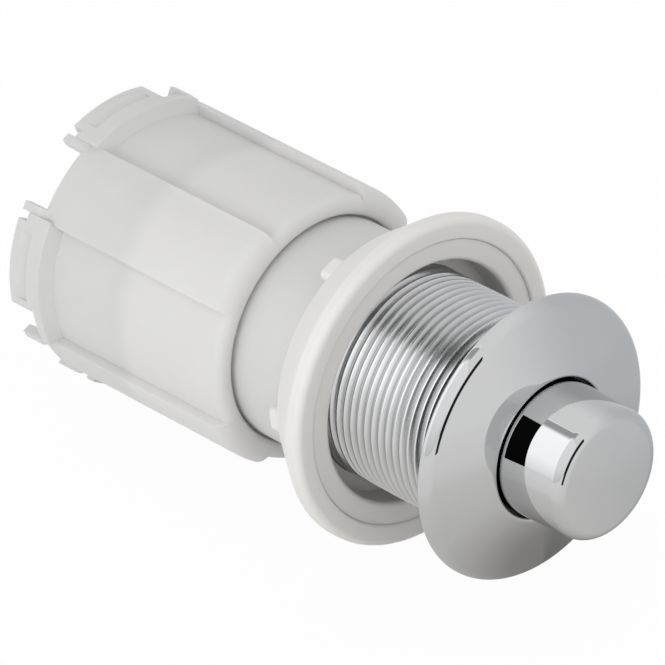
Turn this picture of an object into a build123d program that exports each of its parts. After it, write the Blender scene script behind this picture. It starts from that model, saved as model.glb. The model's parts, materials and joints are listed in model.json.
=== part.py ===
from build123d import *
import os
from math import degrees

# Air push button for a concealed cistern, fixed through a furniture panel or wall lining.
# All sizes in millimetres. The button travels along Y: its face looks towards -Y, the air hose
# leaves towards +Y and +Z is up. The origin is on the axis, in the plane where the rosette
# rests on the panel. Radii are measured from the axis, depths along +Y from that plane.
# Angles about the axis run from +X towards +Z.

# Rosette: the domed cover plate on the front of the panel
rosette_radius = 30.0
rosette_height = 7.1
rosette_rim_land = 2.4
rosette_rim_round = 2.6
rosette_bulge = 0.35
rosette_hole_round = 0.5
rosette_socket_depth = 3.6
seal_inner_land = 1.2
seal_outer_land = 1.6
seal_thickness = 1.6

# Threaded sleeve, M45 with its fine thread cut as plain rings
thread_radius = 22.5
thread_pitch = 2.0
thread_depth = 1.1
thread_flat = 0.3
sleeve_wall = 2.9

# Push button
button_radius = 14.3
button_draft = 0.5
button_reach = 22.6
button_length = 34.2
button_stroke = 12.0
button_face_thickness = 1.6
button_wall = 1.2
button_edge_round = 2.4
insert_wall = 1.7
flange_overlap = 2.8
flange_thickness = 2.0

# Guide bush with the stop washer and the circlip behind it
bush_wall = 2.2
bush_flange_thickness = 3.0
washer_thickness = 1.0
circlip_thickness = 1.1
circlip_width = 2.8
circlip_groove_depth = 0.9
circlip_opening = 36.0
circlip_clock = -90.0

# Plunger rod and the plate that presses the bellows
rod_radius = 4.0
hub_wall = 3.0
rod_socket_depth = 10.6
pusher_radius = 15.5
pusher_thickness = 2.6
pusher_hub_length = 5.0

# Fixing nut and the slip ring in its face
panel_space = 28.3
nut_radius = 35.0
nut_land = 3.2
nut_face_round = 1.6
nut_rear_radius = 28.5
nut_length = 12.6
nut_thread_length = 5.4
nut_edge_round = 0.9
lug_count = 5
lug_clock = 115.6
lug_width = 5.4
lug_height = 3.0
lug_reach = 3.4
lug_round = 1.2
lug_inset = 0.45
ring_relief = 3.2
ring_width = 4.5
ring_thickness = 1.9
ring_setback = 0.5
ring_edge_round = 0.9
recess_edge_round = 0.6

# Carrier: the white tube that joins the sleeve to the bellows chamber
neck_wall = 1.9
neck_setback = 2.6
neck_length = 16.5
spigot_wall = 3.6
web_thickness = 3.0
web_vent_radius = 3.2
web_vent_count = 3
web_vent_clock = 90.0
guide_hub_reach = 5.5
chamber_wall = 1.6
chamber_step = 2.06
chamber_length = 26.9
o_ring_section = 1.05
o_ring_setback = 3.0

# Bellows, its clamp ring and the return spring
bellows_fold_depth = 4.3
bellows_folds = 4
bellows_skin = 1.6
bellows_face_thickness = 1.2
bellows_rim_thickness = 2.0
clamp_ring_thickness = 3.0
clamp_ring_width = 5.65
spring_radius = 8.0
spring_wire_radius = 0.7
spring_turns = 5.5
spring_cup_thickness = 1.5
spring_boss_length = 2.9

# Base plate with the hose nipple, and its screws
base_rim_thickness = 3.6
base_spigot_length = 1.0
nipple_collar_radius = 4.5
nipple_collar_length = 2.0
nipple_radius = 2.5
nipple_length = 13.5
nipple_lead = 0.7
air_way_radius = 1.2
screw_count = 4
screw_shank_radius = 1.4
screw_head_radius = 2.7
screw_head_height = 1.9
screw_head_round = 0.95
screw_length = 9.0
screw_slot_width = 0.8
screw_slot_depth = 0.9

# Housing: the translucent ribbed shell with a castellated rear end
housing_wall = 1.9
housing_length = 59.3
rib_radius = 30.0
rib_height = 1.9
rib_clock = 135.0
rib_half_angle = 17.75
side_rib_half_angle = 16.4
rib_spacing = 86.6
rib_shoulder_round = 4.0
rib_setback = 5.6
shoulder_round = 2.3
lip_round = 1.4
finger_inset_angle = 0.95
finger_angle = 3.4
finger_flare = 0.7
collar_height = 2.9
collar_length = 8.6
collar_ramp = 1.5
collar_start_angle = 20.4
collar_angle = 35.0
slit_depth = 2.3
notch_depth = 6.5
pocket_angle = 28.0
pocket_depth = 0.8
pocket_length = 3.3
pocket_setback = 1.6
snap_height = 1.0
snap_angle = 10.0
snap_length = 2.8

# Clearances
running_gap = 0.06
seat_gap = 0.05
loose_gap = 0.3
neck_gap = 0.45
bellows_gap = 0.8
rosette_gap = 0.5

# The axis of the button, turning +X towards +Z
axis_of_button = Axis((0, 0, 0), (0, -1, 0))

# Stations along the axis
sleeve_front = -rosette_socket_depth
button_front = -button_reach
button_rear = button_front + button_length
washer_rear = button_rear - loose_gap
washer_front = washer_rear - washer_thickness
bush_rear = washer_front
bush_front = sleeve_front
flange_rear = button_rear + flange_thickness
nut_front = panel_space
nut_rear = nut_front + nut_length
lug_rear = nut_rear + lug_reach
neck_front = nut_rear + neck_setback
sleeve_rear = neck_front
spigot_front = flange_rear + button_stroke + loose_gap
web_rear = neck_front + web_thickness
guide_hub_rear = web_rear + guide_hub_reach
chamber_front = neck_front + neck_length
chamber_rear = chamber_front + chamber_length
base_front = chamber_rear - base_spigot_length
base_rear = chamber_rear + base_rim_thickness
bellows_rim_front = base_front - bellows_rim_thickness
clamp_ring_front = bellows_rim_front - clamp_ring_thickness
housing_front = chamber_front - loose_gap - housing_wall
housing_rear = housing_front + housing_length
pusher_hub_front = guide_hub_rear + loose_gap
pusher_front = pusher_hub_front + pusher_hub_length
pusher_rear = pusher_front + pusher_thickness
bellows_front = pusher_rear + loose_gap
cup_front = bellows_front + bellows_face_thickness + loose_gap
cup_rear = cup_front + spring_cup_thickness
rod_front = flange_rear - rod_socket_depth
rod_rear = pusher_front + pusher_thickness / 2

# Radii that follow from a fit
rosette_hole_radius = button_radius + rosette_gap
socket_radius = thread_radius + seat_gap
seal_inner_radius = socket_radius + seal_inner_land
seal_outer_radius = rosette_radius - seal_outer_land
sleeve_bore_radius = thread_radius - sleeve_wall
circlip_radius = sleeve_bore_radius + circlip_groove_depth - seat_gap
circlip_inner_radius = circlip_radius - circlip_width
ring_inner_radius = thread_radius + ring_relief
ring_outer_radius = ring_inner_radius + ring_width
flange_radius = button_radius + flange_overlap
bush_bore_radius = button_radius + running_gap
button_face_radius = button_radius - button_draft
cap_bore_radius = button_face_radius - button_wall
insert_radius = cap_bore_radius - seat_gap
hub_radius = rod_radius + hub_wall
spigot_radius = sleeve_bore_radius - seat_gap
panel_radius = rib_radius - rib_height
collar_radius = panel_radius + collar_height
chamber_radius = panel_radius - housing_wall - loose_gap
chamber_bore_radius = chamber_radius - chamber_wall
neck_radius = chamber_radius - chamber_step
rim_radius = chamber_bore_radius - seat_gap
clamp_ring_inner_radius = rim_radius - clamp_ring_width
screw_circle_radius = (rim_radius + clamp_ring_inner_radius) / 2
bellows_radius = clamp_ring_inner_radius - bellows_gap
bellows_valley_radius = bellows_radius - bellows_fold_depth
spring_cup_radius = bellows_valley_radius - bellows_skin - bellows_gap
spring_boss_radius = spring_radius - spring_wire_radius - loose_gap


def outline(*corners):
    face = make_face(Polyline(*[corner[:2] for corner in corners], close=True))
    return rounded(face, corners)


def rounded(face, corners):
    for corner in corners:
        if len(corner) == 3:
            vertex = face.vertices().sort_by_distance((corner[0], corner[1], 0))[0]
            face = fillet(vertex, corner[2])
    return face


def turned(*corners):
    return revolve(outline(*corners), axis_of_button)


def sector(start, end, *corners):
    piece = revolve(outline(*corners), axis_of_button, end - start)
    return piece.rotate(axis_of_button, start)


def tube(inner, outer, front, rear):
    return turned((inner, front), (outer, front), (outer, rear), (inner, rear))


def rod(radius, front, rear):
    return turned((0, front), (radius, front), (radius, rear), (0, rear))


def ring_of(piece, count, first=0.0):
    return [piece.rotate(axis_of_button, first + 360 / count * i) for i in range(count)]


def rosette():
    dome = SagittaArc(
        (rosette_hole_radius, -rosette_height),
        (rosette_radius, -rosette_rim_land),
        -rosette_bulge,
    )
    back = Polyline(
        (rosette_radius, -rosette_rim_land),
        (rosette_radius, 0),
        (seal_outer_radius, 0),
        (seal_outer_radius, -seal_thickness),
        (seal_inner_radius, -seal_thickness),
        (seal_inner_radius, 0),
        (socket_radius, 0),
        (socket_radius, sleeve_front),
        (rosette_hole_radius, sleeve_front),
        (rosette_hole_radius, -rosette_height),
    )
    soft_edges = (
        (rosette_radius, -rosette_rim_land, rosette_rim_round),
        (rosette_hole_radius, -rosette_height, rosette_hole_round),
    )
    face = rounded(make_face([dome, back]), soft_edges)
    return revolve(face, axis_of_button)


def rosette_seal():
    return tube(seal_inner_radius + seat_gap, seal_outer_radius - seat_gap, -seal_thickness, 0)


def threaded_sleeve():
    root_radius = thread_radius - thread_depth
    flank_start = (thread_pitch - thread_flat) / 2
    outside = [(thread_radius, sleeve_front)]
    for ring in range(int(sleeve_rear // thread_pitch)):
        middle = (ring + 0.5) * thread_pitch
        outside += [
            (thread_radius, middle - flank_start),
            (root_radius, middle - thread_flat / 2),
            (root_radius, middle + thread_flat / 2),
            (thread_radius, middle + flank_start),
        ]
    sleeve = turned(
        (sleeve_bore_radius, sleeve_front),
        *outside,
        (thread_radius, sleeve_rear),
        (sleeve_bore_radius, sleeve_rear),
    )
    groove_radius = sleeve_bore_radius + circlip_groove_depth
    groove_rear = bush_rear + circlip_thickness + 2 * seat_gap
    return sleeve - rod(groove_radius, bush_rear, groove_rear)


def guide_bush():
    bush_radius = sleeve_bore_radius - seat_gap
    waist = bush_bore_radius + bush_wall
    return turned(
        (bush_bore_radius, bush_front),
        (bush_radius, bush_front),
        (bush_radius, bush_front + bush_flange_thickness),
        (waist, bush_front + bush_flange_thickness),
        (waist, bush_rear - bush_flange_thickness),
        (bush_radius, bush_rear - bush_flange_thickness),
        (bush_radius, bush_rear),
        (bush_bore_radius, bush_rear),
    )


def stop_washer():
    inner = button_radius + loose_gap
    return tube(inner, circlip_inner_radius - loose_gap, washer_front, washer_rear)


def bush_circlip():
    front = bush_rear + seat_gap
    rear = front + circlip_thickness
    start = circlip_clock + circlip_opening / 2
    end = circlip_clock + 360 - circlip_opening / 2
    return sector(
        start,
        end,
        (circlip_inner_radius, front),
        (circlip_radius, front),
        (circlip_radius, rear),
        (circlip_inner_radius, rear),
    )


def button_cap():
    return turned(
        (0, button_front),
        (button_face_radius, button_front, button_edge_round),
        (button_radius, -rosette_height),
        (button_radius, button_rear),
        (cap_bore_radius, button_rear),
        (cap_bore_radius, button_front + button_face_thickness),
        (0, button_front + button_face_thickness),
    )


def button_insert():
    shell = tube(
        insert_radius - insert_wall,
        insert_radius,
        button_front + button_face_thickness,
        button_rear,
    )
    flange = tube(rod_radius, flange_radius, button_rear, flange_rear)
    hub = rod(hub_radius, rod_front - hub_wall, flange_rear)
    return shell + flange + hub - rod(rod_radius, rod_front, flange_rear)


def plunger_rod():
    return rod(rod_radius - seat_gap, rod_front, rod_rear)


def pusher_plate():
    hub = rod(hub_radius, pusher_hub_front, pusher_front)
    plate = rod(pusher_radius, pusher_front, pusher_rear)
    return hub + plate - rod(rod_radius, pusher_hub_front, rod_rear)


def spring_cup():
    disc = rod(spring_cup_radius, cup_front, cup_rear)
    return disc + rod(spring_boss_radius, cup_rear, cup_rear + spring_boss_length)


def return_spring():
    front = cup_rear + spring_wire_radius
    rear = base_front - spring_wire_radius
    path = Helix((rear - front) / spring_turns, rear - front, spring_radius)
    path = path.rotate(Axis.X, -90).translate((0, front, 0))
    wire = Plane(origin=path @ 0, z_dir=path % 0) * Circle(spring_wire_radius)
    return sweep(wire, path, is_frenet=True)


def bellows():
    front_of_folds = bellows_front + bellows_face_thickness
    pitch = (bellows_rim_front - front_of_folds) / bellows_folds
    valley = bellows_valley_radius
    outside = [(0, bellows_front), (valley, bellows_front)]
    inside = [(0, front_of_folds), (valley - bellows_skin, front_of_folds)]
    for fold in range(bellows_folds):
        crest_depth = front_of_folds + (fold + 0.5) * pitch
        valley_depth = front_of_folds + (fold + 1) * pitch
        outside += [(bellows_radius, crest_depth), (valley, valley_depth)]
        inside += [
            (bellows_radius - bellows_skin, crest_depth),
            (valley - bellows_skin, valley_depth),
        ]
    rim = [
        (rim_radius, bellows_rim_front),
        (rim_radius, base_front),
        (valley - bellows_skin, base_front),
    ]
    body = turned(*outside, *rim, *reversed(inside))
    return body - screw_holes(screw_shank_radius + loose_gap)


def bellows_clamp_ring():
    ring = tube(clamp_ring_inner_radius, rim_radius, clamp_ring_front, bellows_rim_front)
    return ring - screw_holes(screw_shank_radius + seat_gap)


def screw_place(shape):
    return ring_of(shape.translate((screw_circle_radius, 0, 0)), screw_count, rib_clock)


def screw_holes(radius):
    return screw_place(rod(radius, clamp_ring_front, base_rear))


def base_screws():
    head_rear = base_rear + screw_head_height
    shank = rod(screw_shank_radius, base_rear - screw_length, base_rear)
    head = turned(
        (0, base_rear),
        (screw_head_radius, base_rear),
        (screw_head_radius, head_rear, screw_head_round),
        (0, head_rear),
    )
    slot = Box(2 * (screw_head_radius + loose_gap), 2 * screw_slot_depth, screw_slot_width)
    screw = shank + head - slot.translate((0, head_rear, 0))
    return Compound(children=screw_place(screw))


def base_plate():
    nipple_front = base_rear + nipple_collar_length
    plate = turned(
        (0, base_front),
        (rim_radius, base_front),
        (rim_radius, chamber_rear),
        (chamber_radius, chamber_rear),
        (chamber_radius, base_rear),
        (nipple_collar_radius, base_rear),
        (nipple_collar_radius, nipple_front),
        (nipple_radius, nipple_front),
        (nipple_radius, nipple_front + nipple_length - nipple_lead),
        (nipple_radius - nipple_lead, nipple_front + nipple_length),
        (0, nipple_front + nipple_length),
    )
    boss = rod(spring_boss_radius, base_front - spring_boss_length, base_front)
    air_way = rod(air_way_radius, base_front - spring_boss_length, nipple_front + nipple_length)
    return plate + boss - air_way - screw_holes(screw_shank_radius + loose_gap)


def fixing_nut():
    bore = thread_radius + running_gap
    recess_radius = ring_outer_radius + running_gap
    recess_rear = nut_front + ring_setback + ring_thickness
    thread_front = nut_rear - nut_thread_length
    face_width = nut_radius - recess_radius
    body = turned(
        (recess_radius, nut_front, recess_edge_round),
        (nut_radius, nut_front, min(nut_face_round, face_width / 2)),
        (nut_radius, nut_front + nut_land, nut_edge_round),
        (nut_rear_radius, nut_rear, nut_edge_round),
        (bore, nut_rear),
        (bore, thread_front),
        (ring_inner_radius, thread_front),
        (ring_inner_radius, recess_rear),
        (recess_radius, recess_rear),
    )
    return body + ring_of(nut_lug(), lug_count, lug_clock)


def nut_lug():
    foot = nut_rear - lug_reach
    lug = Box(lug_height, lug_rear - foot, lug_width)
    rear_edges = lug.edges().group_by(Axis.Y)[-1]
    side_edges = lug.edges().filter_by(Axis.Y)
    lug = fillet(rear_edges + side_edges, lug_round)
    middle = nut_rear_radius - lug_inset - lug_height / 2
    return lug.translate((middle, (lug_rear + foot) / 2, 0))


def nut_slip_ring():
    front = nut_front + ring_setback
    rear = front + ring_thickness
    return turned(
        (ring_inner_radius, front, ring_edge_round),
        (ring_outer_radius, front),
        (ring_outer_radius, rear),
        (ring_inner_radius, rear),
    )


def carrier():
    spigot_bore = spigot_radius - spigot_wall
    neck_bore = neck_radius - neck_wall
    body = turned(
        (spigot_bore, spigot_front),
        (spigot_radius, spigot_front),
        (spigot_radius, neck_front),
        (neck_radius, neck_front),
        (neck_radius, chamber_front),
        (chamber_radius, chamber_front, chamber_wall),
        (chamber_radius, chamber_rear),
        (chamber_bore_radius, chamber_rear),
        (chamber_bore_radius, chamber_front + neck_wall),
        (neck_bore, chamber_front + neck_wall),
        (neck_bore, web_rear),
        (0, web_rear),
        (0, neck_front),
        (spigot_bore, neck_front),
    )
    vent_circle = (spigot_bore + hub_radius) / 2
    vent = rod(web_vent_radius, neck_front, web_rear).translate((vent_circle, 0, 0))
    hub = rod(hub_radius, neck_front, guide_hub_rear)
    guide = rod(rod_radius - seat_gap + running_gap, neck_front, guide_hub_rear)
    groove_front = spigot_front + o_ring_setback
    groove_rear = groove_front + 2 * (o_ring_section + seat_gap)
    groove_floor = sleeve_bore_radius - 2 * (o_ring_section + seat_gap)
    groove = tube(groove_floor, sleeve_bore_radius, groove_front, groove_rear)
    return body + hub - guide - groove - ring_of(vent, web_vent_count, web_vent_clock)


def carrier_o_ring():
    middle = spigot_front + o_ring_setback + o_ring_section + seat_gap
    centre = sleeve_bore_radius - seat_gap - o_ring_section
    section = Pos(centre, middle) * Circle(o_ring_section)
    return revolve(section, axis_of_button)


def housing():
    hole = neck_radius + neck_gap
    bore = panel_radius - housing_wall
    inside_front = housing_front + housing_wall
    ramp_rear = housing_rear - collar_length
    ramp_front = ramp_rear - collar_ramp
    collar_bore = collar_radius - housing_wall
    notch_floor = housing_rear - notch_depth
    rib_rear = housing_rear - rib_setback
    rib_bore = rib_radius - housing_wall
    face_width = panel_radius - hole - lip_round - seat_gap
    shoulder = min(shoulder_round, face_width)
    rib_shoulder = min(rib_shoulder_round, face_width + rib_height)
    panel_shape = (
        (hole, housing_front, lip_round),
        (panel_radius, housing_front, shoulder),
        (panel_radius, ramp_front),
        (collar_radius, ramp_rear),
        (collar_radius, notch_floor),
        (collar_bore, notch_floor),
        (collar_bore, ramp_rear),
        (bore, ramp_front),
        (bore, inside_front),
        (hole, inside_front),
    )
    rib_outside = (
        (hole, inside_front),
        (hole, housing_front, lip_round),
        (rib_radius, housing_front, rib_shoulder),
        (rib_radius, rib_rear),
    )
    rib_skin = (
        *rib_outside,
        (rib_bore, rib_rear),
        (rib_bore, inside_front, rib_shoulder - housing_wall),
    )
    rib_side = (*rib_outside, (bore, rib_rear), (bore, inside_front))
    finger = (
        (rib_bore, rib_rear - finger_flare),
        (rib_radius, rib_rear - finger_flare),
        (rib_radius + finger_flare, rib_rear + finger_flare),
        (rib_radius + finger_flare, housing_rear),
        (rib_radius + finger_flare - housing_wall, housing_rear),
        (rib_bore, rib_rear),
    )
    collar_end_angle = collar_start_angle + collar_angle
    collar_middle_angle = collar_start_angle + collar_angle / 2
    slit_start_angle = rib_half_angle - finger_inset_angle
    pocket_rear = housing_rear - pocket_setback
    pocket = (
        (collar_radius - pocket_depth, pocket_rear - pocket_length),
        (collar_radius + pocket_depth, pocket_rear - pocket_length),
        (collar_radius + pocket_depth, pocket_rear),
        (collar_radius, pocket_rear),
    )
    snap_front = base_rear + loose_gap
    snap = (
        (bore - snap_height, snap_front),
        (panel_radius - housing_wall / 2, snap_front),
        (panel_radius - housing_wall / 2, snap_front + snap_length),
        (bore, snap_front + snap_length),
    )
    side_angle = degrees(housing_wall / rib_radius)

    def collar_band(rear):
        return (
            (collar_bore, ramp_rear),
            (collar_radius, ramp_rear),
            (collar_radius, rear),
            (collar_bore, rear),
        )

    def rib(centre, half_angle):
        pieces = [sector(centre - half_angle, centre + half_angle, *rib_skin)]
        for side in (-1, 1):
            edge = centre + side * half_angle
            inner_edge = edge - side * side_angle
            pieces.append(sector(*sorted((edge, inner_edge)), *rib_side))
            finger_outer = edge - side * finger_inset_angle
            finger_inner = finger_outer - side * finger_angle
            pieces.append(sector(*sorted((finger_outer, finger_inner)), *finger))
        return pieces

    def panel(centre, side, spacing):
        def span(first, last):
            return sorted((centre + side * first, centre + side * last))

        snap_start = collar_middle_angle - snap_angle / 2
        slit_floor = housing_rear - slit_depth
        return [
            sector(*span(rib_half_angle, spacing - side_rib_half_angle), *panel_shape),
            sector(*span(slit_start_angle, collar_end_angle), *collar_band(slit_floor)),
            sector(*span(collar_start_angle, collar_end_angle), *collar_band(housing_rear)),
            sector(*span(snap_start, snap_start + snap_angle), *snap),
        ]

    def pocket_cut(centre, side):
        middle = centre + side * collar_middle_angle
        return sector(middle - pocket_angle / 2, middle + pocket_angle / 2, *pocket)

    solids = []
    pockets = []
    for side in (-1, 1):
        solids += rib(rib_clock + side * rib_spacing, side_rib_half_angle)
        for centre, spacing in ((rib_clock, rib_spacing), (rib_clock + 180, 180 - rib_spacing)):
            solids += panel(centre, side, spacing)
            pockets.append(pocket_cut(centre, side))
    solids += rib(rib_clock, rib_half_angle) + rib(rib_clock + 180, rib_half_angle)
    return solids[0].fuse(*solids[1:]) - pockets


pieces = (
    rosette,
    rosette_seal,
    threaded_sleeve,
    guide_bush,
    stop_washer,
    bush_circlip,
    button_cap,
    button_insert,
    plunger_rod,
    pusher_plate,
    spring_cup,
    return_spring,
    bellows,
    bellows_clamp_ring,
    base_screws,
    base_plate,
    fixing_nut,
    nut_slip_ring,
    carrier,
    carrier_o_ring,
    housing,
)

os.makedirs("parts", exist_ok=True)
for piece in pieces:
    export_step(piece(), f"parts/{piece.__name__}.step")
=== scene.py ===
import json
import math

import bpy
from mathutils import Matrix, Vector


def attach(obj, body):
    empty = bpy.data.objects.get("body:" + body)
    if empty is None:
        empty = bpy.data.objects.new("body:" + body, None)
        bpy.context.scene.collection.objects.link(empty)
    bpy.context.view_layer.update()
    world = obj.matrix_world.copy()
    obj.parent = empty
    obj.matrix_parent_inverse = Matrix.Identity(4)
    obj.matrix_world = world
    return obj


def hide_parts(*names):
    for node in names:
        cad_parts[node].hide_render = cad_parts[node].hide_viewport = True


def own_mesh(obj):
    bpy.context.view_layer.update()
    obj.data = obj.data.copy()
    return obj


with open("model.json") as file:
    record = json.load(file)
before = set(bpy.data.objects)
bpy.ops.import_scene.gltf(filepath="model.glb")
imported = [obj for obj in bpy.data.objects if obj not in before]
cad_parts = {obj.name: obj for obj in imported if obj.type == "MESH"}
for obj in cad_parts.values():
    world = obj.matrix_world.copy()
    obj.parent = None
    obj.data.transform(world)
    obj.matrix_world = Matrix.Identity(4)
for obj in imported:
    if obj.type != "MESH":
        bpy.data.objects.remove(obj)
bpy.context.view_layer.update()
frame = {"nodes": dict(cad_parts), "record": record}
nodes = frame["nodes"]
mm = 0.001
bpy.ops.object.select_all(action="DESELECT")
print("frame loaded:", len(nodes), "nodes")


# a shader socket that takes plain maths: each sum or product adds its Math node
class Shade:
    def __init__(self, tree, socket=None):
        self.tree = tree
        self.socket = socket

    def node(self, kind, settings=None, sockets=None, out=0):
        made = self.tree.nodes.new("ShaderNode" + kind)
        for name, value in (settings or {}).items():
            if name == "stops":
                fillRamp(made.color_ramp, value)
            else:
                setattr(made, name, value)
        for name, value in (sockets or {}).items():
            if isinstance(value, Shade):
                self.tree.links.new(value.socket, made.inputs[name])
            else:
                made.inputs[name].default_value = value
        return Shade(self.tree, made.outputs[out] if made.outputs else None)

    def math(self, operation, first, second):
        return self.node("Math", {"operation": operation}, {0: first, 1: second})

    def __add__(self, other):
        return self.math("ADD", self, other)

    def __radd__(self, other):
        return self.math("ADD", other, self)

    def __sub__(self, other):
        return self.math("SUBTRACT", self, other)

    def __rsub__(self, other):
        return self.math("SUBTRACT", other, self)

    def __mul__(self, other):
        return self.math("MULTIPLY", self, other)

    def __rmul__(self, other):
        return self.math("MULTIPLY", other, self)

    def mix(self, low, high, blend="MIX"):
        settings = {"data_type": "RGBA", "blend_type": blend}
        return self.node("Mix", settings, {0: self, 6: low, 7: high}, out=2)

    def ramp(self, stops):
        return self.node("ValToRGB", {"stops": stops}, {0: self})

    def axis(self, letter):
        return self.node("SeparateXYZ", {}, {"Vector": self}, out=letter)

    def vector(self, operation, other=None, out=0):
        sockets = {0: self} if other is None else {0: self, 1: other}
        return self.node("VectorMath", {"operation": operation}, sockets, out)

    def choose(self, first, second):
        return self.node("MixShader", {}, {0: self, 1: first, 2: second})

    def place(self, kind="Object"):
        return self.node("TexCoord", out=kind)

    def ray(self, kind):
        return self.node("LightPath", out=kind)

    def glow(self, colour, strength):
        return self.node("Emission", {}, {"Color": colour, "Strength": strength})

    def clear(self):
        return self.node("BsdfTransparent")

    def finish(self, surface):
        self.node("OutputMaterial", {}, {"Surface": surface})


def fillRamp(ramp, stops):
    while len(ramp.elements) < len(stops):
        ramp.elements.new(1.0)
    for element, (place, level) in zip(ramp.elements, stops):
        element.position = place
        element.color = (level, level, level, 1)


def newMaterial(name):
    material = bpy.data.materials.new(name)
    material.use_nodes = True
    tree = material.node_tree
    tree.nodes.clear()
    return material, Shade(tree)


def finishSurface(shade, **sockets):
    named = {key.replace("_", " "): value for key, value in sockets.items()}
    shade.finish(shade.node("BsdfPrincipled", {}, named))


def noise(shade, place, scale, detail, roughness=0.5):
    sockets = {"Vector": place, "Scale": scale, "Detail": detail, "Roughness": roughness}
    return shade.node("TexNoise", {}, sockets)


def mapRange(shade, value, low, high, kind="LINEAR"):
    sockets = {"Value": value, "From Min": low, "From Max": high}
    return shade.node("MapRange", {"interpolation_type": kind}, sockets)


# in each look: a noise is its scale, detail and roughness; places and depths are in metres
chromeLook = {
    "dark": (0.575, 0.58, 0.59, 1),
    "light": (0.605, 0.61, 0.615, 1),
    "gloss": 0.0,
    "smear": 0.003,
    "cloud": (60, 3.0),
}


# bright plating, with the faint cloud of a wiped surface
def plating(name, look):
    material, shade = newMaterial(name)
    cloud = noise(shade, shade.place(), *look["cloud"])
    finishSurface(
        shade,
        Base_Color=cloud.mix(look["dark"], look["light"]),
        Metallic=1.0,
        Roughness=look["gloss"] + look["smear"] * cloud,
    )
    return material


threadLook = {
    # painted shade: the colour of the thread's roots
    "rootShade": (0.38, 0.39, 0.4, 1),
    "dark": (0.64, 0.645, 0.65, 1),
    "light": (0.72, 0.72, 0.725, 1),
    "gloss": 0.14,
    "smear": 0.08,
    "rootGloss": 0.12,
    "rootRadius": 0.0213,
    "crestRadius": 0.0223,
    "cloud": (180.0, 3.0),
}


# plated thread: bright crests, and dull roots that painted shade makes darker
def platedThread(name, look):
    material, shade = newMaterial(name)
    place = shade.place()
    cloud = noise(shade, place, *look["cloud"])
    radius = place.vector("MULTIPLY", (1, 0, 1)).vector("LENGTH", out="Value")
    # crest is 0 at the root and 1 at the crest: it lays the painted shade in the roots and their
    # duller roughness
    crest = mapRange(shade, radius, look["rootRadius"], look["crestRadius"])
    finishSurface(
        shade,
        Base_Color=crest.mix(look["rootShade"], cloud.mix(look["dark"], look["light"])),
        Metallic=1.0,
        Roughness=look["gloss"] + look["smear"] * cloud + look["rootGloss"] * (1 - crest),
    )
    return material


steelLook = {
    "dark": (0.4, 0.4, 0.41, 1),
    "light": (0.58, 0.58, 0.59, 1),
    "gloss": 0.22,
    "smear": 0.15,
    "stretch": (900, 25, 900),
    "streak": (1.0, 3.0, 0.6),
}


# spring and shaft steel: fine streaks along the length
def drawnSteel(name, look):
    material, shade = newMaterial(name)
    along = shade.node("Mapping", {}, {"Vector": shade.place(), "Scale": look["stretch"]})
    streak = noise(shade, along, *look["streak"])
    finishSurface(
        shade,
        Base_Color=streak.mix(look["dark"], look["light"]),
        Metallic=1.0,
        Roughness=look["gloss"] + look["smear"] * streak,
    )
    return material


# what all moulded pieces share, then each one's own look
mouldLook = {
    "cloud": (45.0, 3.0),
    "pits": (2600.0, 2.0),
    "pitDepth": 0.00005,
    "pitGloss": 0.08,
    "softReach": 0.0015,
}
nutLook = {
    "dark": (0.79, 0.78, 0.755, 1),
    "light": (0.83, 0.82, 0.795, 1),
    "gloss": 0.42,
    "grain": 0.15,
    "soft": 0.35,
}
carrierLook = {
    "dark": (0.66, 0.66, 0.652, 1),
    "light": (0.7, 0.7, 0.692, 1),
    "gloss": 0.4,
    "grain": 0.1,
    "soft": 0.35,
}
blackLook = {
    "dark": (0.012, 0.012, 0.013, 1),
    "light": (0.02, 0.02, 0.021, 1),
    "gloss": 0.4,
    "grain": 0.1,
    "soft": 0.0,
}
innerLook = {
    "dark": (0.74, 0.74, 0.73, 1),
    "light": (0.78, 0.78, 0.77, 1),
    "gloss": 0.45,
    "grain": 0.1,
    "soft": 0.0,
}
rubberLook = {
    "dark": (0.02, 0.02, 0.021, 1),
    "light": (0.032, 0.032, 0.033, 1),
    "gloss": 0.65,
    "grain": 0.2,
    "soft": 0.0,
}


def fineGrain(shade, pits, strength, depth):
    return shade.node("Bump", {}, {"Strength": strength, "Distance": depth, "Height": pits})


def mouldedPlastic(name, look):
    material, shade = newMaterial(name)
    place = shade.place()
    cloud = noise(shade, place, *mouldLook["cloud"])
    pits = noise(shade, place, *mouldLook["pits"])
    finishSurface(
        shade,
        Base_Color=cloud.mix(look["dark"], look["light"]),
        Roughness=look["gloss"] + mouldLook["pitGloss"] * pits,
        Normal=fineGrain(shade, pits, look["grain"], mouldLook["pitDepth"]),
        Subsurface_Weight=look["soft"],
        Subsurface_Radius=(1, 1, 1),
        Subsurface_Scale=mouldLook["softReach"],
    )
    return material


milkyLook = {
    "dark": (0.775, 0.77, 0.755, 1),
    "light": (0.83, 0.825, 0.81, 1),
    "gloss": 0.36,
    "cloud": (38.0, 4.0),
    "pits": (1500.0, 2.0),
    "grain": 0.12,
    "pitDepth": 0.00006,
    "pitGloss": 0.1,
    "clear": 0.1,
    "bending": 1.25,
    "soft": 0.4,
    "softReach": 0.0025,
    "chamberEnd": (0.084, 0.09),
    # painted shade: the tint multiplied over the rear, beyond the chamber's end
    "rearShadeTint": (0.9, 0.905, 0.915, 1),
}


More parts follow.
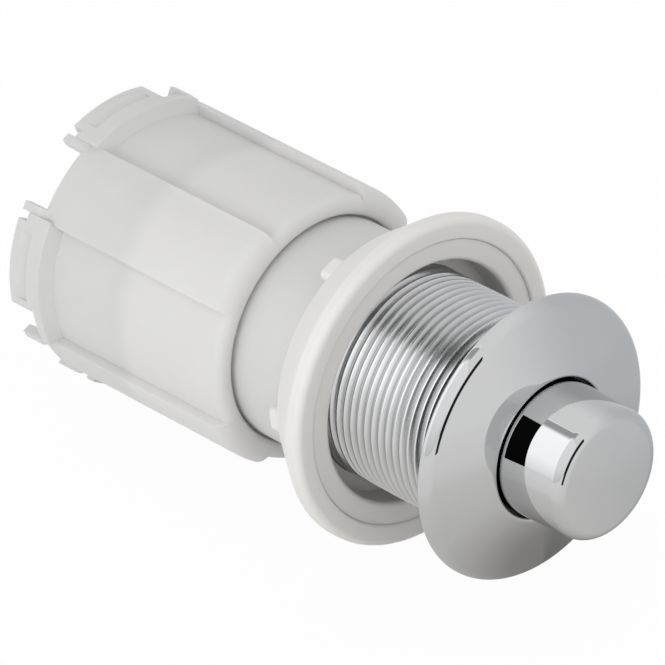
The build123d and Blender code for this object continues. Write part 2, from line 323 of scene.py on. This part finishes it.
# natural polyethylene: cloudy, lets light through, with painted shade making it greyer and bluer
# towards the rear, where no chamber stands behind it
def milkyPlastic(name, look):
    material, shade = newMaterial(name)
    place = shade.place()
    cloud = noise(shade, place, *look["cloud"])
    pits = noise(shade, place, *look["pits"])
    # painted shade mask: 0 in front of the chamber's end, 1 behind it
    rearShade = mapRange(shade, place.axis("Y"), *look["chamberEnd"], "SMOOTHSTEP")
    plain = cloud.mix(look["dark"], look["light"])
    finishSurface(
        shade,
        Base_Color=rearShade.mix(plain, look["rearShadeTint"], "MULTIPLY"),
        Roughness=look["gloss"] + look["pitGloss"] * pits,
        Normal=fineGrain(shade, pits, look["grain"], look["pitDepth"]),
        Transmission_Weight=look["clear"],
        IOR=look["bending"],
        Subsurface_Weight=look["soft"],
        Subsurface_Radius=(1, 1, 1),
        Subsurface_Scale=look["softReach"],
    )
    return material


finishes = {
    "chrome": plating("chrome", chromeLook),
    "thread_chrome": platedThread("threadChrome", threadLook),
    "nut_plastic": mouldedPlastic("nutPlastic", nutLook),
    "carrier_plastic": mouldedPlastic("carrierPlastic", carrierLook),
    "milky_plastic": milkyPlastic("milkyPlastic", milkyLook),
    "black_plastic": mouldedPlastic("blackPlastic", blackLook),
    "inner_plastic": mouldedPlastic("innerPlastic", innerLook),
    "rubber": mouldedPlastic("rubber", rubberLook),
    "steel": drawnSteel("drawnSteel", steelLook),
}
slots = {part["node"]: part["material_slot"] for part in frame["record"]["subparts"]}
for name, slot in slots.items():
    nodes[name].data.materials.clear()
    nodes[name].data.materials.append(finishes[slot])
print("finishes set on the solids")

# tools for the pieces: points closer than this are one, sides of a drill, limit of smooth shading
mergeGap = 0.001 * mm
cutGap = 0.0001 * mm
drillSides = 96
smoothAngle = 35


def selectOnly(piece):
    bpy.ops.object.select_all(action="DESELECT")
    piece.select_set(True)
    bpy.context.view_layer.objects.active = piece


# one vertex at the first point, then an extrude for each next one, in the plane of X and Y
def drawProfile(name, points):
    bpy.ops.object.select_all(action="DESELECT")
    bpy.ops.mesh.primitive_plane_add(size=1 * mm)
    piece = bpy.context.object
    piece.name = name
    bpy.ops.object.mode_set(mode="EDIT")
    bpy.ops.mesh.select_all(action="SELECT")
    bpy.ops.mesh.merge(type="CENTER")
    radius, depth = points[0]
    bpy.ops.transform.translate(value=(radius * mm, depth * mm, 0))
    for nextRadius, nextDepth in points[1:]:
        step = ((nextRadius - radius) * mm, (nextDepth - depth) * mm, 0)
        bpy.ops.mesh.extrude_vertices_move(TRANSFORM_OT_translate={"value": step})
        radius, depth = nextRadius, nextDepth
    bpy.ops.object.mode_set(mode="OBJECT")
    return piece


# turns a profile round the button's axis, as a screw where it climbs
def turnProfile(piece, steps, turns=1, climb=0.0, angle=360):
    screw = piece.modifiers.new("turn", "SCREW")
    screw.axis = "Y"
    screw.angle = math.radians(angle)
    screw.steps = steps
    screw.render_steps = steps
    screw.iterations = turns
    screw.screw_offset = climb * mm
    screw.use_merge_vertices = True
    screw.merge_threshold = mergeGap
    applyModifiers(piece)
    bpy.ops.object.mode_set(mode="EDIT")
    bpy.ops.mesh.select_all(action="SELECT")
    bpy.ops.mesh.remove_doubles(threshold=mergeGap)
    bpy.ops.mesh.normals_make_consistent(inside=False)
    bpy.ops.object.mode_set(mode="OBJECT")


def applyModifiers(piece):
    selectOnly(piece)
    for modifier in list(piece.modifiers):
        bpy.ops.object.modifier_apply(modifier=modifier.name)


def cutEnds(piece, front, rear):
    bpy.ops.object.mode_set(mode="EDIT")
    for depth, side in ((front, -1), (rear, 1)):
        bpy.ops.mesh.select_all(action="SELECT")
        bpy.ops.mesh.bisect(
            plane_co=(0, depth * mm, 0),
            plane_no=(0, side, 0),
            use_fill=True,
            clear_outer=True,
            threshold=cutGap,
        )
    bpy.ops.mesh.select_all(action="SELECT")
    bpy.ops.mesh.normals_make_consistent(inside=False)
    bpy.ops.object.mode_set(mode="OBJECT")


def boreOut(piece, radius, front, rear):
    bpy.ops.object.select_all(action="DESELECT")
    bpy.ops.mesh.primitive_cylinder_add(
        vertices=drillSides,
        radius=radius * mm,
        depth=(rear - front) * mm,
        location=(0, (front + rear) / 2 * mm, 0),
        rotation=(math.radians(90), 0, 0),
    )
    drill = bpy.context.object
    cut = piece.modifiers.new("bore", "BOOLEAN")
    cut.operation = "DIFFERENCE"
    cut.solver = "EXACT"
    cut.object = drill
    applyModifiers(piece)
    bpy.data.objects.remove(drill)


def finishPiece(piece, node, body):
    selectOnly(piece)
    bpy.ops.object.shade_smooth_by_angle(angle=math.radians(smoothAngle))
    piece.data.materials.clear()
    piece.data.materials.append(finishes[slots[node]])
    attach(piece, body)
    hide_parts(node)
    print(piece.name, len(piece.data.polygons), "faces")


sleeve = {
    "crest": 22.48,
    "bore": 19.6,
    "front": -3.6,
    "rear": 43.5,
    "pitch": 2.0,
    # radius, front and rear of the circlip's groove
    "groove": (20.5, 10.3, 11.5),
    # along one pitch from root to root, height over the crest
    "form": [
        (0.0, -1.1), (0.14, -1.08), (0.27, -0.96), (0.74, -0.14), (0.86, -0.03), (1.0, 0.0),
        (1.14, -0.03), (1.26, -0.14), (1.73, -0.96), (1.86, -1.08), (2.0, -1.1),
    ],
    "spareTurns": 2,
    "drillOverrun": 5,
    "steps": 96,
}


# the helix starts before the sleeve and ends behind it, then both ends are cut flat
def makeSleeve():
    front, rear, pitch = sleeve["front"], sleeve["rear"], sleeve["pitch"]
    start = front - sleeve["spareTurns"] * pitch
    turns = math.ceil((rear - start) / pitch) + sleeve["spareTurns"]
    points = [(sleeve["crest"] + height, start + along) for along, height in sleeve["form"]]
    piece = drawProfile("threadedSleeveBody", points)
    turnProfile(piece, sleeve["steps"], turns, pitch)
    cutEnds(piece, front, rear)
    boreOut(piece, sleeve["bore"], front - sleeve["drillOverrun"], rear + sleeve["drillOverrun"])
    boreOut(piece, *sleeve["groove"])
    finishPiece(piece, "threaded_sleeve", "mounting")


makeSleeve()

rosette = {
    "radius": 30.0,
    "height": 7.1,
    "rimLand": 2.4,
    "rimRound": 2.6,
    "bulge": 0.35,
    "hole": 14.8,
    "holeRound": 0.5,
    "backRound": 0.6,
    # inner and outer radius, depth
    "sealGroove": (23.75, 28.4, -1.6),
    # radius, depth
    "socket": (22.55, -3.6),
    "holeSteps": 6,
    "domeSteps": 24,
    "rimSteps": 16,
    "backSteps": 5,
    "steps": 192,
}


def arcPoints(centre, radius, start, end, count):
    across, along = centre
    angles = [start + (end - start) * step / count for step in range(count + 1)]
    return [
        (across + radius * math.cos(angle), along + radius * math.sin(angle)) for angle in angles
    ]


# the domed cover turned finely, because its mirror images show every facet
def makeRosette():
    hole, radius, bulge = rosette["hole"], rosette["radius"], rosette["bulge"]
    holeRound, rimRound, back = rosette["holeRound"], rosette["rimRound"], rosette["backRound"]
    inner, outer = Vector((hole, -rosette["height"])), Vector((radius, -rosette["rimLand"]))
    chord = outer - inner
    domeRadius = (chord.length_squared / 4 + bulge * bulge) / (2 * bulge)
    outward = Vector((chord.y, -chord.x)).normalized()
    dome = (inner + outer) / 2 - outward * (domeRadius - bulge)

    # an edge rounding that touches the dome from inside, at a given distance from the axis
    def rounding(across, size):
        drop = math.sqrt((domeRadius - size) ** 2 - (across - dome.x) ** 2)
        return (across, dome.y - drop), math.atan2(-drop, across - dome.x)

    holeCentre, holeAngle = rounding(hole + holeRound, holeRound)
    rimCentre, rimAngle = rounding(radius - rimRound, rimRound)
    grooveInner, grooveOuter, grooveDepth = rosette["sealGroove"]
    socket, socketDepth = rosette["socket"]
    points = [(hole, socketDepth)]
    points += arcPoints(holeCentre, holeRound, -math.pi, holeAngle, rosette["holeSteps"])
    points += arcPoints(dome, domeRadius, holeAngle, rimAngle, rosette["domeSteps"])[1:]
    points += arcPoints(rimCentre, rimRound, rimAngle, 0, rosette["rimSteps"])[1:]
    points += arcPoints((radius - back, -back), back, 0, math.pi / 2, rosette["backSteps"])
    points += [(grooveOuter, 0), (grooveOuter, grooveDepth)]
    points += [(grooveInner, grooveDepth), (grooveInner, 0)]
    points += [(socket, 0), (socket, socketDepth), (hole, socketDepth)]
    piece = drawProfile("rosetteShell", points)
    turnProfile(piece, rosette["steps"])
    finishPiece(piece, "rosette", "mounting")


makeRosette()

bellows = {
    "front": 60.2,
    "face": 1.2,
    "rimFront": 83.9,
    "valley": 13.5,
    "crest": 17.8,
    "rim": 24.2,
    "folds": 4,
    "skin": 1.1,
    "soft": 0.9,
    "edgeWidth": 0.3,
    "edgeSteps": 2,
    "edgeAngle": 30,
    "steps": 72,
}


# rounded folds: two points beside each crest and each valley
def makeBellows():
    start = bellows["front"] + bellows["face"]
    fold = (bellows["rimFront"] - start) / bellows["folds"]
    soft = bellows["soft"]
    points = [(0, bellows["front"]), (bellows["valley"], bellows["front"])]
    for count in range(bellows["folds"]):
        middle = start + (count + 0.5) * fold
        end = start + (count + 1) * fold
        points += [(bellows["crest"], middle - soft / 2), (bellows["crest"], middle + soft / 2)]
        points += [(bellows["valley"], end - soft / 2), (bellows["valley"], end)]
    points += [(bellows["rim"], bellows["rimFront"])]
    piece = drawProfile("bellowsSkin", points)
    turnProfile(piece, bellows["steps"])
    wall = piece.modifiers.new("skin", "SOLIDIFY")
    wall.thickness = bellows["skin"] * mm
    wall.offset = -1.0
    edge = piece.modifiers.new("edges", "BEVEL")
    edge.width = bellows["edgeWidth"] * mm
    edge.segments = bellows["edgeSteps"]
    edge.limit_method = "ANGLE"
    edge.angle_limit = math.radians(bellows["edgeAngle"])
    applyModifiers(piece)
    finishPiece(piece, "bellows", "mounting")
    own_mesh(piece)


makeBellows()

spring = {
    "radius": 8.0,
    "wire": 0.7,
    "front": 63.9,
    "rear": 85.2,
    "turns": 5.5,
    "steps": 220,
    "sides": 14,
}


def makeSpring():
    bpy.ops.object.select_all(action="DESELECT")
    bpy.ops.mesh.primitive_circle_add(
        vertices=spring["sides"],
        radius=spring["wire"] * mm,
        location=(spring["radius"] * mm, spring["front"] * mm, 0),
    )
    piece = bpy.context.object
    piece.name = "springWire"
    bpy.ops.object.transform_apply(location=True, rotation=True, scale=True)
    climb = spring["rear"] - spring["front"]
    turnProfile(piece, spring["steps"], 1, climb, 360 * spring["turns"])
    bpy.ops.object.mode_set(mode="EDIT")
    bpy.ops.mesh.select_all(action="SELECT")
    bpy.ops.mesh.fill_holes(sides=spring["sides"])
    bpy.ops.mesh.normals_make_consistent(inside=False)
    bpy.ops.object.mode_set(mode="OBJECT")
    finishPiece(piece, "return_spring", "mounting")
    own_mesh(piece)


makeSpring()

# the long lens of the photograph, looking down on the button from its left
photoCamera = {
    "azimuth": -43.5459,
    "elevation": 29.3346,
    "distance": 1.64,
    "aim": (-0.02778, 0.02578, 0.02328),
    "lens": 457.5,
    "sensor": 36.0,
    "clip": (0.05, 20.0),
}


def addCamera(setup):
    turn = math.radians(setup["azimuth"])
    rise = math.radians(setup["elevation"])
    level = math.cos(rise)
    back = Vector((math.sin(turn) * level, -math.cos(turn) * level, math.sin(rise)))
    data = bpy.data.cameras.new("photoCamera")
    data.lens = setup["lens"]
    data.sensor_width = setup["sensor"]
    data.clip_start, data.clip_end = setup["clip"]
    camera = bpy.data.objects.new("photoCamera", data)
    bpy.context.scene.collection.objects.link(camera)
    camera.location = Vector(setup["aim"]) + back * setup["distance"]
    camera.rotation_euler = (-back).to_track_quat("-Z", "Y").to_euler()
    bpy.context.scene.camera = camera


addCamera(photoCamera)

plainWhite = (1, 1, 1, 1)
roomLight = 0.8
# the plating sees the right half of the room greyer: from left to right, grey level
sideLevels = [(0.0, 1.0), (0.65, 1.0), (0.725, 0.94), (0.8, 0.84), (0.875, 0.74), (1.0, 0.71)]
sideTints = ((0.9, 1.0, 1.12, 1), (1.0, 0.995, 0.985, 1))


# the level to the side for a sideways part of -1 to 1
def sideLevel(way):
    return (0.5 + 0.5 * way).ramp(sideLevels)


# straight rays and those through the plastic see plain white, mirrored ones the level given
def backdrop(shade, kind, level, tint):
    mirrored = shade.ray("Is Glossy Ray")
    plain = shade.ray("Is Camera Ray") + shade.ray("Is Transmission Ray")
    sockets = {"Color": mirrored.mix(plainWhite, tint), "Strength": plain + mirrored * level}
    return plain + mirrored, shade.node(kind, {}, sockets)


def addWorld():
    world = bpy.data.worlds.new("studio")
    bpy.context.scene.world = world
    world.use_nodes = True
    world.node_tree.nodes.clear()
    shade = Shade(world.node_tree)
    walls = sideLevel(shade.place("Generated").axis("X"))
    room = shade.node("Background", {}, {"Color": plainWhite, "Strength": roomLight})
    rays, white = backdrop(shade, "Background", walls, walls.mix(*sideTints))
    shade.node("OutputWorld", {}, {"Surface": rays.choose(room, white)})


addWorld()

floorLook = {
    "depth": -36.0,
    "size": 6.0,
    "poolCentre": (8, -3),
    "poolReach": 200,
    # painted shadow under the object: place over the reach, grey level
    "shadowPool": [
        (0.0, 0.28), (0.05, 0.33), (0.075, 0.42), (0.11, 0.55), (0.17, 0.7),
        (0.24, 0.75), (0.34, 0.8), (0.46, 0.92), (1.0, 1.0),
    ],
    # the warm tint of the painted shadow
    "shadowTint": (1.02, 0.985, 0.92, 1),
    "paper": (0.93, 0.93, 0.93, 1),
    "whiteShare": 0.96,
}


# white floor, clear from below, with a painted shadow: a soft dark pool under the object that
# only the plating mirrors
def addFloor():
    bpy.ops.object.select_all(action="DESELECT")
    bpy.ops.mesh.primitive_plane_add(
        size=floorLook["size"], location=(0, 0, floorLook["depth"] * mm)
    )
    floor = bpy.context.object
    floor.name = "studioFloor"
    material, shade = newMaterial("studioFloor")
    middle = [way * mm for way in floorLook["poolCentre"]] + [0]
    place = shade.place().vector("SUBTRACT", middle)
    away = place.vector("LENGTH", out="Value") * (1 / (floorLook["poolReach"] * mm))
    # painted shadow: darkest under the object, lighter farther out
    shadowPool = away.ramp(floorLook["shadowPool"])
    side = sideLevel(place.vector("NORMALIZE").axis("X"))
    tint = shadowPool.mix(floorLook["shadowTint"], side.mix(*sideTints))
    rays, white = backdrop(shade, "Emission", shadowPool * side, tint)
    paper = shade.node("BsdfDiffuse", {}, {"Color": floorLook["paper"]})
    top = (floorLook["whiteShare"] * rays).choose(paper, white)
    below = shade.node("NewGeometry", out="Backfacing")
    shade.finish(below.choose(top, shade.clear()))
    floor.data.materials.append(material)


addFloor()

# cards beside the object that only mirrors see
# place: turn about the axis from +X to +Z, distance away, width across, reach along the axis
# light: levels over the width and strength, its share in a polished mirror (the thread is dull),
# its share in a mirror's mirror, and how clear the card is there
softBox = {
    "turn": 152,
    "away": 420,
    "across": 588,
    "levels": [(0.0, 0.68), (0.4, 0.95), (1.0, 1.0)],
    "strength": 1.55,
    "thin": 0.0,
}
cards = {
    "softBoxFront": {**softBox, "along": (-860, -210), "polished": 0.74, "again": 1.0},
    "softBoxMiddle": {**softBox, "along": (-210, 150), "polished": 0.74, "again": 0.004},
    "softBoxRear": {**softBox, "along": (150, 480), "polished": 1.0, "again": 0.004},
    "greyStrip": {
        "turn": 109.5,
        "away": 420,
        "across": 110,
        "along": (-60, 290),
        "levels": [(0.0, 0.9), (0.3, 0.33), (0.4, 0.31), (0.86, 0.31), (0.89, 0.72), (1.0, 0.72)],
        "strength": 1.55,
        "polished": 1.0,
        "again": 1.0,
        "thin": 1.0,
    },
}
# Glossy Depth is 1 in a first mirror and 2 in a second
betweenMirrors = 1.5


# 1 where a polished mirror shows another mirror's picture; the thread is too dull for it
def secondMirror(shade):
    deep = shade.math("GREATER_THAN", shade.ray("Glossy Depth"), betweenMirrors)
    return shade.ray("Is Singular Ray") * deep


def addPanel(name, panel):
    turn = math.radians(panel["turn"])
    front, rear = panel["along"]
    outward = Vector((math.cos(turn), 0, math.sin(turn)))
    middle = outward * panel["away"] + Vector((0, (front + rear) / 2, 0))
    bpy.ops.object.select_all(action="DESELECT")
    bpy.ops.mesh.primitive_plane_add(size=1, location=middle * mm)
    piece = bpy.context.object
    piece.name = name
    piece.rotation_euler = (-outward).to_track_quat("Z", "Y").to_euler()
    piece.scale = ((rear - front) * mm, panel["across"] * mm, 1)
    return piece


# a panel's own Y runs from -0.5 to 0.5 over its width
def levelsAcross(shade, panel):
    return (shade.place().axis("Y") + 0.5).ramp(panel["levels"])


def hideFromAllButMirrors(piece):
    piece.visible_camera = False
    piece.visible_diffuse = False
    piece.visible_shadow = False
    piece.visible_transmission = False


def addCard(name, card):
    piece = addPanel(name, card)
    material, shade = newMaterial(name)
    sharp = shade.ray("Is Singular Ray")
    again = secondMirror(shade)
    polished = card["polished"]
    share = 1 - (1 - polished) * sharp + (card["again"] - polished) * again
    light = shade.glow(levelsAcross(shade, card), card["strength"] * share)
    shade.finish((card["thin"] * again).choose(light, shade.clear()))
    piece.data.materials.append(material)
    hideFromAllButMirrors(piece)


for name, card in cards.items():
    addCard(name, card)

# the dark doorway in front of the object and its strip of floor: a thin line in rounded edges
doorway = {
    "middle": (280, -229),
    "reach": (350, 600),
    "sweep": (116, 176),
    "arcSteps": 24,
    "depth": -600,
    "floor": [(-34, -140), (-28, -290), (0, -600), (-260, -600), (-85, -165)],
    "floorLift": 0.3,
    "level": 0.02,
    "again": 0.9,
}


def addDarkPatch(name, points, turn, place):
    piece = drawProfile(name, points)
    bpy.ops.object.mode_set(mode="EDIT")
    bpy.ops.mesh.select_all(action="SELECT")
    bpy.ops.mesh.edge_face_add()
    bpy.ops.object.mode_set(mode="OBJECT")
    piece.rotation_euler = (math.radians(turn), 0, 0)
    piece.location = [way * mm for way in place]
    material, shade = newMaterial(name)
    strength = doorway["level"] + doorway["again"] * secondMirror(shade)
    shade.finish(shade.glow(plainWhite, strength))
    piece.data.materials.append(material)
    hideFromAllButMirrors(piece)


def addDoorway():
    near, far = doorway["reach"]
    start, end = [math.radians(angle) for angle in doorway["sweep"]]
    points = arcPoints(doorway["middle"], near, start, end, doorway["arcSteps"])
    points += arcPoints(doorway["middle"], far, end, start, doorway["arcSteps"])
    addDarkPatch("doorway", points, 90, (0, doorway["depth"], 0))
    floorDepth = floorLook["depth"] + doorway["floorLift"]
    addDarkPatch("doorwayFloor", doorway["floor"], 0, (0, 0, floorDepth))


addDoorway()

# a dark strip and a greyer ceiling that only the dull thread mirrors
threadShade = {
    "turn": 80,
    "away": 460,
    "across": 693,
    "along": (-700, 900),
    "levels": [(0.0, 0.8), (0.6, 0.7), (0.74, 0.04), (1.0, 0.04)],
}


def addThreadShade():
    piece = addPanel("threadShade", threadShade)
    material, shade = newMaterial("threadShade")
    light = shade.glow(levelsAcross(shade, threadShade), 1.0)
    shade.finish(shade.ray("Is Singular Ray").choose(light, shade.clear()))
    piece.data.materials.append(material)
    hideFromAllButMirrors(piece)


addThreadShade()

# large lamps that the plating does not mirror
lamps = {
    "keyLamp": {"place": (-0.85, 0.05, 0.05), "size": 0.5, "power": 2.0},
    "frontLamp": {"place": (-0.2, -1.0, 0.4), "size": 0.6, "power": 1.0},
}


def addLamp(name, lamp):
    data = bpy.data.lights.new(name, "AREA")
    data.size = lamp["size"]
    data.energy = lamp["power"]
    light = bpy.data.objects.new(name, data)
    bpy.context.scene.collection.objects.link(light)
    light.location = lamp["place"]
    light.rotation_euler = Vector(lamp["place"]).to_track_quat("Z", "Y").to_euler()
    light.visible_glossy = False


for name, lamp in lamps.items():
    addLamp(name, lamp)
print("studio ready")

scene = bpy.context.scene
scene.view_settings.view_transform = "Standard"
